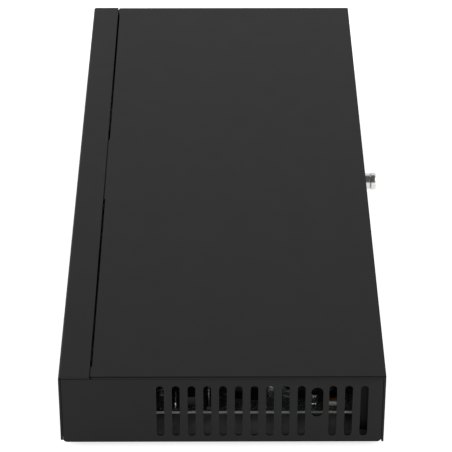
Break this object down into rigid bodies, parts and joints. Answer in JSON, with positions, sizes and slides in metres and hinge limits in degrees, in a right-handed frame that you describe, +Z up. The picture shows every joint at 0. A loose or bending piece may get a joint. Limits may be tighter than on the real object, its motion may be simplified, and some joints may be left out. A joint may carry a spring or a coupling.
{
  "type": "surveillance video recorder",
  "caption": "Low, wide steel-cased video recorder with slotted side vents, a folded front lip, flush network sockets and a bright cover screw at the rear.",
  "frame": {"origin": "on the surface it stands on, under the middle of its overall width and depth", "axes": "+X towards the right-hand end seen from the front, +Y towards the connector panel, +Z up"},
  "size_m": [0.44, 0.1888, 0.048],
  "materials": {
    "case_paint": "satin",
    "tray_paint": "satin",
    "bracket_steel": "zinc plated",
    "bright_nickel": "polished",
    "screw_steel": "zinc plated",
    "black_screw": "black oxide",
    "foot_rubber": "matte",
    "board_green": "solder mask",
    "standoff_brass": "turned",
    "chip_black": "matte",
    "sink_aluminium": "anodised",
    "can_aluminium": "satin",
    "tantalum_yellow": "semi gloss",
    "ceramic_tan": "satin",
    "inductor_grey": "matte",
    "cell_steel": "satin",
    "port_plastic": "satin",
    "port_steel": "tin plated",
    "gold_contact": "gold plated",
    "led_green": "clear",
    "led_amber": "clear",
    "tongue_blue": "satin",
    "tongue_black": "satin",
    "pipe_clear": "clear",
    "window_smoke": "dark tinted",
    "button_plastic": "fine texture",
    "disk_casting": "as cast",
    "disk_lid": "satin",
    "platter_mirror": "mirror",
    "arm_aluminium": "machined",
    "fan_plastic": "satin",
    "cable_red": "satin",
    "cable_black": "satin",
    "ribbon_grey": "satin",
    "header_white": "satin"
  },
  "bodies": {
    "chassis": {"base_tray": "tray_paint", "rear_panel": "case_paint", "front_panel": "case_paint", "top_cover": "case_paint", "cover_rear_bracket": "bracket_steel", "cover_screw_collar": "bright_nickel", "cover_screw": "bright_nickel", "rubber_feet": "foot_rubber", "countersunk_screws": "black_screw", "pan_head_screws": "screw_steel", "main_board": "board_green", "board_standoffs": "standoff_brass", "processor": "chip_black", "heatsink": "sink_aluminium", "memory_chips": "chip_black", "logic_chips": "chip_black", "network_transformers": "chip_black", "capacitors": "can_aluminium", "tantalum_capacitors": "tantalum_yellow", "inductors": "inductor_grey", "coin_cell": "cell_steel", "buzzer": "chip_black", "chip_components": "ceramic_tan", "pin_header": "header_white", "camera_ports_a": "port_plastic", "camera_ports_b": "port_plastic", "lan_port": "port_plastic", "port_shields": "port_steel", "port_contacts": "gold_contact", "link_leds": "led_green", "activity_leds": "led_amber", "mouse_socket_shell": "port_steel", "mouse_socket_tongues": "tongue_blue", "monitor_socket_shell": "port_steel", "monitor_socket_tongue": "tongue_black", "dc_jack": "port_plastic", "dc_jack_pin": "port_steel", "audio_jacks": "port_plastic", "front_board": "board_green", "front_socket_shells": "port_steel", "front_socket_tongues": "tongue_black", "light_pipes": "pipe_clear", "infrared_window": "window_smoke", "button_switch": "chip_black", "hdd_casting": "disk_casting", "hdd_lid": "disk_lid", "hdd_board": "board_green", "fan_frame": "fan_plastic", "fan_bracket": "bracket_steel", "disk_data_socket": "tongue_black", "disk_power_socket": "header_white", "disk_data_cable": "cable_red", "disk_power_cable": "cable_black", "front_cable": "ribbon_grey", "fan_cable": "cable_black"},
    "power_key": {"power_button": "button_plastic", "switch_plunger": "tongue_black"},
    "fan_wheel": {"fan_rotor": "fan_plastic"},
    "disk_pack": {"hdd_platters": "platter_mirror"},
    "disk_heads": {"hdd_arm": "arm_aluminium"}
  },
  "joints": [
    {"name": "power_button_press", "type": "slide", "parent": "chassis", "child": "power_key", "axis": [0, 1, 0], "range_m": [0, 0.0005], "stiffness_N_per_m": 1500, "springref_m": -0.0003},
    {"name": "fan_spin", "type": "hinge", "parent": "chassis", "child": "fan_wheel", "pos_m": [-0.2115, 0.05875, 0.0248], "axis": [1, 0, 0], "continuous": true},
    {"name": "disk_spindle", "type": "hinge", "parent": "chassis", "child": "disk_pack", "pos_m": [-0.1635, -0.01505, 0.0182], "axis": [0, 0, 1], "continuous": true},
    {"name": "head_arm_swing", "type": "hinge", "parent": "chassis", "child": "disk_heads", "pos_m": [-0.11277, -0.04317, 0.0182], "axis": [0, 0, 1], "range_deg": [0, 39]}
  ]
}
